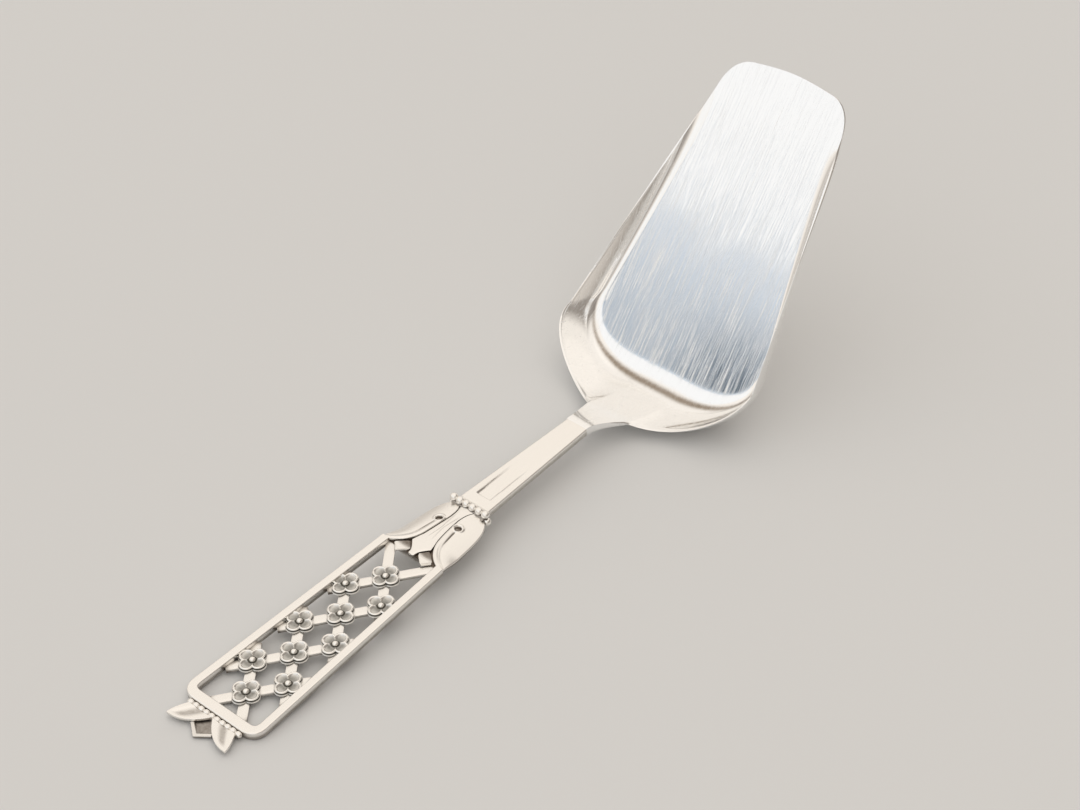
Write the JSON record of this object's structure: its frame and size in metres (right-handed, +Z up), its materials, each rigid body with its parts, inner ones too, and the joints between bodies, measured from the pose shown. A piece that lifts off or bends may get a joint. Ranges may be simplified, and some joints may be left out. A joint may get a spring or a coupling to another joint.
{
  "type": "cake server",
  "caption": "Cake server with a dished, tapering blade, a cranked neck and a flat pierced handle of crossing straps and four-petal blossoms, ended by a leaf finial.",
  "frame": {"origin": "middle of the footprint on the table, at the height of the table", "axes": "+Z up from the table, +X along the server towards the blade's tip, +Y to the left seen from the handle; the server rests on the end of its handle and the heel of its blade, with the blade rising"},
  "size_m": [0.236, 0.0658, 0.0784],
  "materials": {
    "blade_silver": "polished silver with fine scratches along the blade",
    "handle_silver": "polished silver, slightly warm, dark in the recesses",
    "blossom_silver": "polished silver with darkened hollows"
  },
  "bodies": {
    "root": {"blade": "blade_silver", "stem": "handle_silver", "collar_band": "handle_silver", "collar_beads": "handle_silver", "shoulder_plate": "handle_silver", "left_scroll": "handle_silver", "right_scroll": "handle_silver", "drop": "handle_silver", "left_tab": "handle_silver", "right_tab": "handle_silver", "handle_frame": "handle_silver", "strap_a1": "handle_silver", "strap_a2": "handle_silver", "strap_a3": "handle_silver", "strap_a4": "handle_silver", "strap_b1": "handle_silver", "strap_b2": "handle_silver", "strap_b3": "handle_silver", "strap_b4": "handle_silver", "blossom_c1": "blossom_silver", "blossom_c2": "blossom_silver", "blossom_c3": "blossom_silver", "blossom_c4": "blossom_silver", "blossom_l1": "blossom_silver", "blossom_l2": "blossom_silver", "blossom_l3": "blossom_silver", "blossom_r1": "blossom_silver", "blossom_r2": "blossom_silver", "blossom_r3": "blossom_silver", "pellets": "handle_silver", "end_bead_bar": "handle_silver", "left_leaf": "handle_silver", "right_leaf": "handle_silver", "bud": "handle_silver"}
  },
  "joints": []
}
